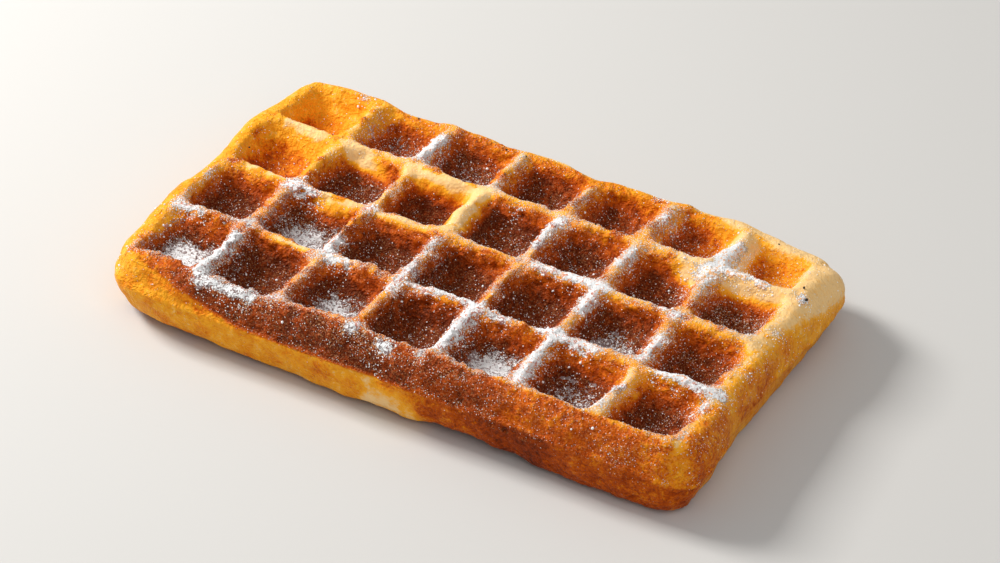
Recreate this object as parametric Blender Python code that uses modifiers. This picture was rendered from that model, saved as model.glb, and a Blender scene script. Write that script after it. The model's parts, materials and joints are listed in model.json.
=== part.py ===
"""A rectangular waffle with a grid of deep square pockets on both faces.

Units are metres, +Z up, and the long side runs along X. The origin is the middle of the
underside, at the level that the waffle rests on. The upper half is one sheet, mirrored in the
plane where the two plates of the mould meet, and the whole is then made as uneven as baked
batter is.
"""

import math

import bmesh
import bpy
from mathutils import Vector, noise

# Grid of pockets
COLUMNS = 7
ROWS = 4
PITCH_X = 0.0225
PITCH_Y = 0.0236

# Height of the whole, and what is left between an upper and a lower pocket
THICKNESS = 0.0215
WEB = 0.0045
HALF_HEIGHT = THICKNESS / 2
POCKET_DEPTH = (THICKNESS - WEB) / 2

# One rib, from its crest down to the pocket's floor
RIB_LAND = 0.0027
RIB_CROWN = 0.0002
SHOULDER_WIDTH = 0.0011
SHOULDER_DROP = 0.0016
WALL_DRAFT = math.radians(18)
FLOOR_SAG = 0.0007
POCKET_CORNER = 0.0034

# The rim round the grid, from the middle of the outer rib to the lip between the mould's plates
RIM_LAND = 0.0023
RIM_CREST_DROP = 0.0004
RIM_EDGE_DROP = 0.0011
RIM_SHOULDER_DROP = 0.0027
SIDE_DRAFT = math.radians(15)
LIP_REACH = 0.0006
LIP_RISE = 0.0009
OUTLINE_CORNER = 0.0095

# How uneven the batter baked: (size of a wave, how far it moves the surface, where its noise starts)
RIB_WANDER = (0.021, 0.0009, 3.1)
RIB_WAVER = (0.0075, 0.0006, 7.7)
TOP_SWELL = (0.034, 0.0007, 1.3)
TOP_LUMPS = (0.0085, 0.0006, 5.9)
UNDERSIDE_SHARE = 0.35
SEAT_DEPTH = 0.00035

# Where the chance waves start, so that every run bakes the same waffle
NOISE_SEED = 29

# Single marks: (columns from the left end, rows from the front, level, radius, push along X, Y
# and Z). Level 1 is the top, 0 the plane between the mould's plates and -1 the underside, and a
# mark fades out at MARK_SPREAD times its radius.
MARK_SPREAD = 1.6
MARKS = (
    # Bumps, scoops and wide or narrow ribs of the upper face
    (3.06, 1.98, 1, 0.0036, (0.0, 0.0, 0.0010)),
    (1.50, 2.84, 1, 0.0050, (0.0, 0.0018, -0.0011)),
    (2.10, 2.50, 1, 0.0075, (0.0008, 0.0, 0.0)),
    (2.86, 2.60, 1, 0.0080, (-0.0018, 0.0, 0.0)),
    (2.50, 2.90, 1, 0.0080, (0.0, -0.0012, 0.0)),
    (6.16, 0.55, 1, 0.0080, (0.0018, 0.0, 0.0)),
    (5.86, 0.50, 1, 0.0080, (-0.0009, 0.0, 0.0)),
    (4.86, 0.45, 1, 0.0070, (-0.0009, 0.0, 0.0)),
    (6.85, 3.50, 1, 0.0090, (-0.0012, 0.0, 0.0004)),
    (6.90, 2.30, 1, 0.0090, (-0.0010, 0.0, 0.0)),
    # The left end
    (0.10, 3.40, 1, 0.0100, (0.0002, 0.0, -0.0004)),
    (-0.05, 2.75, 1, 0.0115, (-0.0016, 0.0, 0.0014)),
    (-0.20, 2.70, 0, 0.0090, (-0.0009, 0.0, 0.0)),
    (0.05, 0.45, 1, 0.0085, (0.0, 0.0, -0.0014)),
    # The far rim
    (1.45, 4.10, 1, 0.0080, (0.0, -0.0010, -0.0018)),
    (2.40, 4.10, 1, 0.0080, (0.0, -0.0008, -0.0014)),
    (3.05, 4.10, 1, 0.0080, (0.0, -0.0006, -0.0008)),
    (3.90, 4.10, 1, 0.0085, (0.0, -0.0012, -0.0020)),
    (4.65, 4.10, 1, 0.0085, (0.0, -0.0012, -0.0020)),
    (5.60, 4.10, 1, 0.0110, (0.0, -0.0008, -0.0014)),
    # The far right corner and the right end
    (7.05, 4.05, 1, 0.0078, (0.0006, -0.0008, -0.0038)),
    (6.45, 4.12, 1, 0.0095, (0.0, -0.0014, -0.0024)),
    (7.25, 3.75, 0, 0.0085, (0.0014, 0.0, 0.0)),
    (6.72, 3.85, 1, 0.0065, (0.0, -0.0018, 0.0)),
    (7.25, 1.10, 0, 0.0120, (-0.0014, 0.0, 0.0)),
    (7.25, 2.10, 0, 0.0120, (-0.0014, 0.0, 0.0)),
    # The front edge of the underside, rounded off and in one place broken away
    (0.20, -0.12, -1, 0.0085, (0.0, 0.0006, 0.0024)),
    (0.95, -0.12, -1, 0.0085, (0.0, 0.0004, 0.0020)),
    (1.65, -0.12, -1, 0.0085, (0.0, 0.0, 0.0015)),
    (2.50, -0.12, -1, 0.0085, (0.0, 0.0, 0.0008)),
    (3.40, -0.12, -1, 0.0085, (0.0, 0.0, 0.0016)),
    (4.25, -0.12, -1, 0.0085, (0.0, 0.0, 0.0028)),
    (4.68, -0.12, -1, 0.0042, (0.0, 0.0, 0.0020)),
    (5.10, -0.12, -1, 0.0085, (0.0, 0.0, 0.0016)),
    (6.20, -0.12, -1, 0.0085, (0.0, 0.0, 0.0008)),
)

CRUST_COLOR = (0.60, 0.27, 0.06, 1.0)
CRUST_ROUGHNESS = 0.6


def rib_profile(half_pitch):
    """(distance from the rib's middle, depth) of the lines from a rib's crest to a pocket's middle."""
    land = RIB_LAND / 2
    shoulder = land + SHOULDER_WIDTH
    foot_depth = POCKET_DEPTH - FLOOR_SAG
    foot = shoulder + (foot_depth - SHOULDER_DROP) * math.tan(WALL_DRAFT)
    return [
        (0.0, 0.0),
        (land, RIB_CROWN),
        (shoulder, SHOULDER_DROP),
        (foot, foot_depth),
        (half_pitch, POCKET_DEPTH),
    ]


def grid_lines(count, pitch):
    """(position, depth) of each line across the sheet, from one edge of the top to the other."""
    profile = rib_profile(pitch / 2)
    start = -count * pitch / 2
    lines = [(start - RIM_LAND, RIM_EDGE_DROP)]
    for cell in range(count):
        left = start + cell * pitch
        lines += [(left + inset, depth) for inset, depth in profile]
        lines += [(left + pitch - inset, depth) for inset, depth in profile[-2:0:-1]]
    lines += [(-start, 0.0), (RIM_LAND - start, RIM_EDGE_DROP)]
    return lines


def round_corner(x, y, half_x, half_y, radius):
    """Moves a point near a corner of a rectangle so that the corner becomes round."""
    over_x = abs(x) - (half_x - radius)
    over_y = abs(y) - (half_y - radius)
    if over_x <= 0.0 or over_y <= 0.0:
        return x, y
    scale = max(over_x, over_y) / math.hypot(over_x, over_y)
    return (
        math.copysign(half_x - radius + over_x * scale, x),
        math.copysign(half_y - radius + over_y * scale, y),
    )


def round_pocket(x, y):
    """Rounds the corners of the pocket that a point of the sheet lies in."""
    left = math.floor(x / PITCH_X + COLUMNS / 2) - COLUMNS / 2 + 0.5
    front = math.floor(y / PITCH_Y + ROWS / 2) - ROWS / 2 + 0.5
    middle_x, middle_y = left * PITCH_X, front * PITCH_Y
    land = RIB_LAND / 2
    near_x, near_y = round_corner(
        x - middle_x, y - middle_y, PITCH_X / 2 - land, PITCH_Y / 2 - land, POCKET_CORNER
    )
    return middle_x + near_x, middle_y + near_y


def outward(point, half_x, half_y, radius):
    """The direction that points straight out of the rounded outline at a point on it."""
    over_x = max(abs(point.x) - (half_x - radius), 0.0)
    over_y = max(abs(point.y) - (half_y - radius), 0.0)
    return Vector((math.copysign(over_x, point.x), math.copysign(over_y, point.y), 0.0)).normalized()


def shape_top(sheet, lines_x, lines_y, size):
    """Moves the points of a plain grid onto the ribs, pocket walls and floors."""
    last_x, last_y = len(lines_x) - 1, len(lines_y) - 1
    half_x, half_y = lines_x[-1][0], lines_y[-1][0]
    for vertex in sheet.verts:
        column = round((vertex.co.x / size + 1) / 2 * last_x)
        row = round((vertex.co.y / size + 1) / 2 * last_y)
        (x, depth_x), (y, depth_y) = lines_x[column], lines_y[row]
        on_edge = column in (0, last_x) or row in (0, last_y)
        on_outer_rib = column in (1, last_x - 1) or row in (1, last_y - 1)
        depth = min(depth_x, depth_y)
        if on_edge:
            depth = RIM_EDGE_DROP
        elif on_outer_rib:
            depth = RIM_CREST_DROP
        elif depth > 0.0:
            x, y = round_pocket(x, y)
        x, y = round_corner(x, y, half_x, half_y, OUTLINE_CORNER)
        vertex.co = (x, y, HALF_HEIGHT - depth)


def add_side(sheet, half_x, half_y):
    """Carries the sheet's edge down to the plane where the mould's plates meet."""
    side_height = HALF_HEIGHT - RIM_SHOULDER_DROP - LIP_RISE
    side_reach = SHOULDER_WIDTH + side_height * math.tan(SIDE_DRAFT)
    rings = (
        (SHOULDER_WIDTH, HALF_HEIGHT - RIM_SHOULDER_DROP),
        (side_reach, LIP_RISE),
        (side_reach + LIP_REACH, 0.0),
    )
    edge = [e for e in sheet.edges if e.is_boundary]
    reached = 0.0
    for reach, height in rings:
        made = bmesh.ops.extrude_edge_only(sheet, edges=edge)["geom"]
        for vertex in (g for g in made if isinstance(g, bmesh.types.BMVert)):
            radius = OUTLINE_CORNER + reached
            direction = outward(vertex.co, half_x + reached, half_y + reached, radius)
            vertex.co += direction * (reach - reached)
            vertex.co.z = height
        edge = [g for g in made if isinstance(g, bmesh.types.BMEdge)]
        reached = reach


def add_upper_half(collection):
    """The upper half, open in the mould's plane, with a mirror that makes the lower half."""
    lines_x, lines_y = grid_lines(COLUMNS, PITCH_X), grid_lines(ROWS, PITCH_Y)
    sheet = bmesh.new()
    size = 1.0
    bmesh.ops.create_grid(
        sheet, x_segments=len(lines_x) - 1, y_segments=len(lines_y) - 1, size=size
    )
    shape_top(sheet, lines_x, lines_y, size)
    add_side(sheet, lines_x[-1][0], lines_y[-1][0])
    bmesh.ops.recalc_face_normals(sheet, faces=sheet.faces)
    mesh = bpy.data.meshes.new("upper_half")
    sheet.to_mesh(mesh)
    sheet.free()
    half = bpy.data.objects.new("upper_half", mesh)
    collection.objects.link(half)
    mirror = half.modifiers.new("lower_half", "MIRROR")
    mirror.use_axis = (False, False, True)
    mirror.merge_threshold = 0.00002
    return half


def wave(point, unevenness):
    """A smooth vector that changes over a wave's size, as long as the wave's reach at most."""
    size, reach, start = unevenness
    return noise.noise_vector(point / size + Vector((start, start * 2, start * 3))) * reach


def place(columns, rows, level):
    """The point so many pockets from the left end and from the front, at a level of the form."""
    return Vector(
        ((columns - COLUMNS / 2) * PITCH_X, (rows - ROWS / 2) * PITCH_Y, level * HALF_HEIGHT)
    )


def marked(point):
    """How far the single marks push a point."""
    pushed = Vector()
    for columns, rows, level, radius, push in MARKS:
        away = (point - place(columns, rows, level)).length / (radius * MARK_SPREAD)
        if away < 1.0:
            pushed += Vector(push) * (1 - away * away) ** 2
    return pushed


def bake(point):
    """A point of the regular form, moved to where the uneven baked waffle has it."""
    flat = Vector((point.x, point.y, 0.0))
    share = 1.0 if point.z > 0.0 else UNDERSIDE_SHARE
    moved = point + wave(flat, RIB_WANDER) + wave(point, RIB_WAVER) * share
    moved.z = point.z + (wave(flat, TOP_SWELL).z + wave(point, TOP_LUMPS).z) * share
    return moved + marked(point)


def middle_of(values):
    """Halfway between the lowest and the highest of some numbers."""
    return (min(values) + max(values)) / 2


def settle(mesh):
    """Sets the uneven form on the ground, its lowest ribs pressed flat, and its middle at the origin."""
    middle_x = middle_of([vertex.co.x for vertex in mesh.vertices])
    middle_y = middle_of([vertex.co.y for vertex in mesh.vertices])
    for vertex in mesh.vertices:
        vertex.co.x -= middle_x
        vertex.co.y -= middle_y
        vertex.co.z = max(vertex.co.z + HALF_HEIGHT - SEAT_DEPTH, 0.0)


def add_waffle(collection):
    """The whole waffle as one uneven solid that stands on the flat lands of its lower ribs."""
    half = add_upper_half(collection)
    graph = bpy.context.evaluated_depsgraph_get()
    mesh = bpy.data.meshes.new_from_object(half.evaluated_get(graph))
    bpy.data.objects.remove(half)
    mesh.name = "waffle"
    for vertex in mesh.vertices:
        vertex.co = bake(vertex.co)
    settle(mesh)
    waffle = bpy.data.objects.new("waffle", mesh)
    collection.objects.link(waffle)
    mesh.shade_smooth()
    mesh.materials.append(crust_material())
    return waffle


def crust_material():
    """Golden brown baked batter."""
    material = bpy.data.materials.new("crust")
    material.use_nodes = True
    shader = material.node_tree.nodes["Principled BSDF"]
    shader.inputs["Base Color"].default_value = CRUST_COLOR
    shader.inputs["Roughness"].default_value = CRUST_ROUGHNESS
    shader.inputs["Metallic"].default_value = 0.0
    return material


def main():
    """Clears the scene and builds the waffle in a collection of its own."""
    for old in list(bpy.data.objects):
        bpy.data.objects.remove(old)
    noise.seed_set(NOISE_SEED)
    collection = bpy.data.collections.new("waffle")
    bpy.context.scene.collection.children.link(collection)
    add_waffle(collection)


main()
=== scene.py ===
"""The looks of a rectangular waffle: its baked crust, the icing sugar on it and a few crumbs.

Units are metres and +Z is up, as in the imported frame. A place on the waffle is given in columns
from the left end and rows from the front, so (3, 2) is a crossing of two ribs and (3.5, 2.5) is
the middle of a pocket.
"""

import json
import math

import bpy
import numpy as np
from bpy.props import FloatProperty, FloatVectorProperty, IntProperty, PointerProperty
from mathutils import Matrix, Vector, noise

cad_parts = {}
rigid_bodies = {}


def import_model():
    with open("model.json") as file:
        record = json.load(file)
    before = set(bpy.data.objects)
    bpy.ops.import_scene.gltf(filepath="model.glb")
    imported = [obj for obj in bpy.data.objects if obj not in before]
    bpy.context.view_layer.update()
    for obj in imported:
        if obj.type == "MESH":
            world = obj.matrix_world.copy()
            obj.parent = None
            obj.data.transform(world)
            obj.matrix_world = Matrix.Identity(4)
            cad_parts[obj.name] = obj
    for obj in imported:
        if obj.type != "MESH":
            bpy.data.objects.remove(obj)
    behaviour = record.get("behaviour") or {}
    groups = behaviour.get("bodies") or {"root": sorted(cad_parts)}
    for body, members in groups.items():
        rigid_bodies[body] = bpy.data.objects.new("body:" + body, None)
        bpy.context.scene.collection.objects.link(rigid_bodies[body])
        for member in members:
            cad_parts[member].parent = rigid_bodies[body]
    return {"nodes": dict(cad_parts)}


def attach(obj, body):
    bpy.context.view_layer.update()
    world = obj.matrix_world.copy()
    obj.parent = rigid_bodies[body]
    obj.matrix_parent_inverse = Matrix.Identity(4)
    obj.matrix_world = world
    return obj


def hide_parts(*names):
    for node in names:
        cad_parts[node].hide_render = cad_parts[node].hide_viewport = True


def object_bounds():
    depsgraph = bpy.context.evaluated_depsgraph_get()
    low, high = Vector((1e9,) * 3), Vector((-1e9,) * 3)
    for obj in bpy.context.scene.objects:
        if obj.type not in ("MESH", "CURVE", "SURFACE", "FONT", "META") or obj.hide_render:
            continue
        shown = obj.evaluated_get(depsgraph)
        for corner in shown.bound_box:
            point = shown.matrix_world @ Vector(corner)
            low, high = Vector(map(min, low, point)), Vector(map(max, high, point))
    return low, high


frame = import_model()
CAD_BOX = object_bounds()

bl_info = {
    "name": "Sugared waffle",
    "version": (1, 0, 0),
    "blender": (4, 5, 0),
    "location": "3D View > Sidebar > Waffle",
    "description": "Dresses the waffle with a baked crust, icing sugar and crumbs",
    "category": "Object",
}

# The grid of pockets, as the part has it
COLUMNS = 7
ROWS = 4
PITCH_X = 0.0225
PITCH_Y = 0.0236
LIP_HEIGHT = 0.0104
UPPER_FLOOR = 0.0134
LOWER_FLOOR = 0.0086
RIB_HEIGHT = 0.0210
RIB_CROWN = 0.0030
# How far the seam climbs above the lip along the front, and how much more from the middle on
SEAM_RISE = 0.0016
SEAM_RISE_MIDDLE = 0.0008
# The right end, which is rounder than the rest: beyond this place, and above this height
ROUND_END = 0.0772
ROUND_END_FOOT = 0.0020
# The far right corner's radius at its top, and how much more it is at its bottom
CORNER_RADIUS = 0.0120
CORNER_RADIUS_GROWTH = 0.0100
# Where the pale batter on the right end's slope ends, and how much lower at the far corner
PALE_FOOT = 0.0168
PALE_FOOT_DROP = 0.0060

# How close points of the solid are merged, and how far each smoothing moves a point
MERGE_DISTANCE = 0.00001
SMOOTHING = 0.5
# How far inside the solid's box the easing of points starts
BOX_MARGIN = (0.0010, 0.0010, 0.0005)
# Burnt crumbs: how far round one the height of the crust is looked up, and how rough each is
CRUMB_SEARCH = 0.0012
CRUMB_ROUGHNESS = 0.00016

# Noises: the size of their lumps, where they start and, for rough ones, how many sizes they have
NOISE_SEED = 4
SWELL_LUMPS = (0.0062, 1.7)
WIDE_SWELL_LUMPS = (0.0140, 4.1)
CRAG_LUMPS = (0.0024, 6.1, 3)
LIP_LUMPS = (0.0040, 2.9)
TOASTED_LUMPS = (0.0036, 7.7)
BROWNING_LUMPS = (0.0070, 3.3, 3)
PALE_LUMPS = (0.0052, 5.7, 3)
DUST_LUMPS = (0.0060, 8.1, 2)
DRIFT_LUMPS = (0.0011, 2.2)
BURNT_LUMPS = (0.0005, 6.2)
# Burst bubbles: how far apart they are, where their noise starts and how wide they are
BUBBLES = (0.0040, 9.2, 0.0011)
# Noises that lead places astray: the size of their lumps, where the ones along x and along y start
WANDER_LUMPS = (0.0100, 1.3, 6.3)
FINE_WANDER_LUMPS = (0.0034, 2.6, 7.6)
CROWN_STRAY_LUMPS = (0.0090, 5.2, 8.8)
PALE_STRAY_LUMPS = (0.0034, 3.2, 6.9)
SUGAR_STRAY_LUMPS = (0.0036, 4.7, 9.6)
# How far a place may stray, as a share of a column or a row, and the fine noise's share for the ribs
STRAY = 0.05
FINE_WANDER = 0.55
# How much craggier the crests are, and how much less craggy the side
CREST_CRAGS = 1.1
CALM_OUTSIDE = 0.4

# Browning, from 0, raw, to 1, dark: of the crests, and how much more of the shoulders and the floors,
# partly browner crust and partly painted shade down in the pockets
CREST_BROWNING = 0.36
SHOULDER_BROWNING_AND_SHADE = 0.20
FLOOR_BROWNING_AND_SHADE = 0.50
# How much browner each pocket is drawn on its left, as painted shade, and how much lighter on the right of
# its far wall, as painted light
POCKET_LEFT_PAINTED_SHADE = 0.10
FAR_WALL_PAINTED_LIGHT = 0.16
# How uneven the browning is, with more at the lower left of the front and less at its upper right
BLOTCHES = 0.14
LOWER_LEFT_BLOTCHES = 0.10
UPPER_RIGHT_BLOTCHES = 0.05
# How much higher the upper half's browning ends at the left end, and how softly it ends
LEFT_EDGE_RISE = 0.0070
EDGE_SOFTNESS = 0.0005
LEFT_EDGE_SOFTNESS = 0.0020
# How much paler the seam is drawn along the front, as a painted highlight along its ridge
SEAM_PAINTED_HIGHLIGHT = 0.22
# How much browner the toasted crests are, how much lighter the others, and how light a crest may be
TOASTED_BROWNING = 0.34
CREST_LIGHT = 0.20
LEAST_BROWNING = 0.19
# How much paler the raw places are, and how much more of it in the grid
PALE_LIGHT = 0.50
PALE_LIGHT_INSIDE = 0.14
# How patchy the raw places are, and how much less so in the grid
PALE_PATCHES = 0.55
CALM_INSIDE = 0.6

# Icing sugar on a floor: everywhere, and more round a place in each pocket, in columns and rows
FLOOR_SHARE = 0.44
HEAP_SHARE = 0.40
HEAP_PLACE = (0.46, 0.42)
WALL_SHARE = 0.6
# How much thinner the sugar is on the floors that have less of it
SPRINKLED_THINNER = 0.4
# How much sugar a face needs to be looked at for a drift, and how much a drift needs
DRIFT_SEARCH = 0.24
DRIFT_LEVEL = 0.56
# A drift's height: how fast it grows, how low its edges dip, how lumpy it is, and its skin
DRIFT_GROWTH = 1.3
DRIFT_DIP = -0.35
DRIFT_LUMPINESS = 0.9
DRIFT_SKIN = 0.00012
# Noises that fray a drift's edges and make its holes: share, size of the lumps, start
DRIFT_EDGES = ((0.36, 0.0050, 6.6), (0.46, 0.0021, 4.4))
DRIFT_HOLES = ((0.60, 0.00095, 7.3), (0.46, 0.00045, 3.9))
# Fine specks: everywhere, on the shoulders, on the brown side, towards the right end, up the walls,
# with the sugar and round it, and how patchy they are
DUST = 0.010
SHOULDER_DUST = 0.52
SIDE_DUST = 0.15
RIGHT_DUST = 0.12
WALL_DUST = 0.18
SUGAR_DUST = 0.34
HALO_DUST = 0.30
DUST_PATCHES = 0.9
# Coarse grains: everywhere, near the sugar on the ribs and with the sugar
GRAINS = 0.012
NEAR_GRAINS = 0.6
SUGAR_GRAINS = 0.4

# The crust's crumb in three sizes: name, size, detail, roughness, distortion, share in the colour, which
# draws the hollows of the middle and fine crumb darker as painted shade and their tops lighter as painted
# light
CRUMB_SIZES = (
    ("Coarse", 0.0050, 2.0, 0.50, 0.5, 0.15),
    ("Middle", 0.0019, 3.0, 0.58, 0.3, 0.30),
    ("Fine", 0.0007, 2.0, 0.60, 0.0, 0.26),
)
# The grain of the powder: size, detail, roughness, distortion
PATCH_LUMPS = (0.0017, 3.0, 0.65)
PATCH_GRAINS = (0.00034, 1.0)
SPECK_GRAINS = (0.00050, 2.0, 0.6)
MELTED_GLINT_GRAINS = (0.00042, 1.0)
DRIFT_GAPS = (0.00085, 3.0, 0.65, 0.4)
DRIFT_CLODS = (0.0009, 3.0, 0.65)
DRIFT_GRAINS = (0.00028, 1.0)
# How far the bumps of the crust and of the drifts stand out
CRUST_BUMP = 0.0008
DRIFT_BUMP = 0.00035
# Where each colour of the crust stands between raw, 0, and dark, 1
BAKED_COLOURS = ((0.13, "gold"), (0.36, "amber"), (0.54, "chestnut"), (0.74, "brown"))
# How much browner the crust in a drift's gaps is drawn, as painted shade in the crevices between the sugar
GAP_SHADE_BROWNING = 0.22
# Roughness of the crust between its crumbs and on them, and of powder
CRUST_ROUGHNESS = (0.62, 0.42)
POWDER_ROUGHNESS = 0.95
BUTTERY_SHINE = {"Specular IOR Level": 0.15, "Specular Tint": (1.0, 0.62, 0.28, 1.0)}
DRY_POWDER = {"Roughness": POWDER_ROUGHNESS, "Specular IOR Level": 0.2}

# Shapes of loose sugar, as nodes with their values
GRAIN = ("GeometryNodeMeshCone", {"Vertices": 3, "Radius Top": 0.0, "Radius Bottom": 0.62, "Depth": 0.9})
LUMP = ("GeometryNodeMeshIcoSphere", {"Subdivisions": 1, "Radius": 0.5})
# Loose sugar: piece, shape, what strews it, number in a square metre, least and greatest width
LOOSE_SUGAR = (
    ("sugar_dust", GRAIN, "specks", 4700000.0, 0.00016, 0.00034),
    ("sugar_grains", LUMP, "grains", 2200000.0, 0.00022, 0.00046),
    ("sugar_clumps", LUMP, "grains", 90000.0, 0.00050, 0.00095),
)

# Lights: name, degrees round from the front, degrees up, width, power, colour
LIGHTS = (
    ("window", -89.0, 38.0, 0.30, 11.6, (1.0, 0.985, 0.96)),
    ("fill", 40.0, 50.0, 0.70, 2.2, (1.0, 1.0, 1.0)),
)
LIGHT_DISTANCE = 0.95
SKY_COLOUR = (1.0, 1.0, 1.0)
SKY_STRENGTH = 0.40
FLOOR_WIDTH = 8.0
FLOOR_HEIGHT = -0.00005
CAMERA_TARGET = (0.01125, -0.01115, 0.0213)
SENSOR_WIDTH = 36.0

# Icing sugar that lies on the ribs: (from column, row), (to column, row), reach, amount
RIB_SUGAR = (
    ((1.00, 0.00), (1.00, 0.75), 0.0019, 1.0),
    ((1.05, -0.04), (1.70, -0.04), 0.0018, 0.82),
    ((1.75, 0.03), (2.00, 0.03), 0.0014, 0.5),
    ((1.00, 2.00), (1.00, 2.00), 0.0027, 1.0),
    ((1.00, 1.92), (1.35, 1.92), 0.0018, 0.9),
    ((0.05, 0.97), (0.40, 0.97), 0.0018, 0.7),
    ((0.05, 1.65), (0.05, 1.65), 0.0016, 0.5),
    ((0.85, 1.05), (1.00, 1.05), 0.0016, 0.5),
    ((2.00, 1.00), (2.00, 1.35), 0.0020, 0.9),
    ((2.05, 0.97), (2.35, 0.97), 0.0016, 0.8),
    ((2.00, 2.00), (2.00, 2.00), 0.0018, 0.6),
    ((3.00, 0.80), (3.00, 1.30), 0.0016, 0.7),
    ((3.00, 1.20), (3.00, 1.80), 0.0015, 0.5),
    ((3.10, 1.00), (3.50, 1.00), 0.0015, 0.6),
    ((3.00, 0.00), (3.00, 0.00), 0.0018, 0.8),
    ((3.45, -0.10), (3.45, -0.10), 0.0022, 1.0),
    ((3.90, -0.02), (3.90, -0.02), 0.0015, 0.7),
    ((3.50, 1.05), (4.00, 1.05), 0.0018, 0.9),
    ((4.00, 1.00), (4.00, 1.00), 0.0027, 1.0),
    ((4.00, 1.00), (4.00, 0.20), 0.0020, 1.0),
    ((4.00, 1.00), (4.40, 1.00), 0.0016, 0.6),
    ((4.80, 1.05), (5.00, 1.05), 0.0018, 1.0),
    ((5.00, 1.00), (5.00, 0.60), 0.0018, 0.9),
    ((5.00, 0.60), (5.00, 0.15), 0.0020, 0.9),
    ((5.00, 1.00), (5.50, 1.00), 0.0018, 0.8),
    ((2.00, 3.20), (2.00, 3.65), 0.0018, 1.0),
    ((4.05, 2.90), (4.05, 2.90), 0.0020, 0.9),
    ((4.00, 2.90), (4.00, 2.35), 0.0017, 0.8),
    ((3.45, 2.90), (3.45, 2.90), 0.0016, 0.6),
    ((4.15, 2.00), (4.60, 2.00), 0.0017, 0.7),
    ((4.60, 2.00), (5.10, 2.00), 0.0020, 1.0),
    ((5.00, 2.00), (5.00, 1.55), 0.0020, 1.0),
    ((5.00, 2.50), (5.00, 2.80), 0.0017, 0.8),
    ((5.05, 3.55), (5.05, 3.55), 0.0020, 0.8),
    ((4.75, 4.00), (4.75, 4.00), 0.0017, 0.6),
    ((0.75, 3.95), (0.75, 3.95), 0.0016, 0.5),
    ((6.00, 3.00), (6.00, 3.50), 0.0030, 1.0),
    ((6.00, 3.00), (6.00, 2.60), 0.0017, 0.6),
    ((5.80, 2.80), (6.12, 3.12), 0.0036, 0.75),
    ((6.00, 3.00), (6.60, 3.00), 0.0018, 0.7),
    ((5.80, 2.00), (5.80, 2.00), 0.0015, 0.9),
    ((6.00, 1.95), (6.00, 1.95), 0.0015, 0.8),
    ((6.00, 1.10), (6.00, 1.55), 0.0018, 0.8),
    ((5.92, 0.20), (5.98, 0.60), 0.0018, 0.8),
    ((6.30, 1.00), (7.00, 1.00), 0.0020, 0.9),
    ((6.85, 0.80), (6.85, 0.80), 0.0022, 0.9),
    ((7.05, 2.35), (7.05, 2.35), 0.0018, 0.5),
    ((7.10, 1.50), (7.10, 1.50), 0.0016, 0.4),
    ((7.05, 3.00), (7.05, 3.00), 0.0016, 0.9),
)

# Icing sugar in each pocket, row by row from the front: on its floor, and up its left and far walls
FLOOR_SUGAR = (
    (1.00, 0.30, 0.92, 0.40, 1.00, 0.74, 0.20),
    (0.40, 0.93, 0.50, 0.25, 0.30, 0.84, 0.25),
    (0.25, 0.50, 0.20, 0.40, 0.40, 0.30, 0.50),
    (0.15, 0.60, 0.60, 0.30, 0.30, 0.50, 0.20),
)
WALL_SUGAR = (
    (0.60, 0.40, 0.25, 0.15, 0.40, 0.20, 0.10),
    (0.30, 0.50, 0.30, 0.40, 0.20, 0.35, 0.30),
    (0.10, 0.30, 0.10, 0.25, 0.40, 0.20, 0.40),
    (0.00, 0.50, 0.45, 0.30, 0.20, 0.50, 0.20),
)

# How brown the upper half baked: (from column, row), (to column, row), reach, browner by
UPPER_BROWNING = (
    ((0.70, 0.10), (4.20, 0.10), 0.0240, 0.22),
    ((1.20, 1.20), (4.60, 1.40), 0.0200, 0.14),
    ((-0.35, -0.20), (-0.35, 4.20), 0.0120, -0.26),
    ((0.20, 3.80), (1.00, 3.60), 0.0280, -0.32),
    ((0.10, 3.00), (0.90, 3.00), 0.0045, -0.16),
    ((0.50, 2.60), (0.50, 2.60), 0.0200, -0.44),
    ((-0.02, 0.60), (0.00, 2.40), 0.0040, -0.10),
    ((0.05, 0.20), (0.10, 0.80), 0.0070, -0.26),
    ((7.20, 0.60), (7.20, 4.20), 0.0120, -0.10),
    ((7.24, 1.30), (7.24, 1.85), 0.0070, 0.22),
    ((7.24, 0.15), (7.24, 0.80), 0.0070, 0.18),
    ((7.00, 3.70), (6.20, 3.60), 0.0300, -0.46),
    ((6.00, 3.00), (6.00, 3.00), 0.0150, -0.16),
    ((2.00, 4.10), (6.00, 4.10), 0.0070, -0.12),
    ((4.00, 3.60), (5.60, 3.60), 0.0150, -0.08),
    ((3.00, 3.00), (3.00, 4.00), 0.0060, -0.10),
)
# How much browner each pocket's walls and floor baked, row by row from the front
POCKET_BROWNING = (
    (0.00, 0.06, 0.00, 0.18, 0.06, 0.00, -0.06),
    (0.00, 0.02, 0.06, 0.06, 0.06, 0.14, -0.04),
    (-0.14, 0.00, 0.02, 0.15, 0.02, -0.04, 0.00),
    (-0.40, -0.03, -0.05, -0.10, -0.11, -0.15, -0.24),
)
# How brown the long front slope and the lower half baked, in the same way
FRONT_BROWNING = (
    ((1.30, -0.30), (3.30, -0.30), 0.0220, 0.38),
    ((3.30, -0.30), (4.60, -0.30), 0.0180, 0.14),
    ((4.60, -0.30), (6.30, -0.30), 0.0200, 0.25),
    ((7.00, -0.20), (7.00, -0.20), 0.0160, 0.02),
)
LOWER_BROWNING = (
    ((-0.30, -0.20), (3.00, -0.20), 0.0190, -0.15),
    ((-0.30, 0.00), (-0.30, 4.00), 0.0140, -0.16),
    ((4.30, -0.20), (5.20, -0.20), 0.0200, 0.20),
    ((5.20, -0.20), (6.90, -0.20), 0.0220, 0.26),
    ((7.30, 0.60), (7.30, 4.00), 0.0140, -0.10),
)

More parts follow.
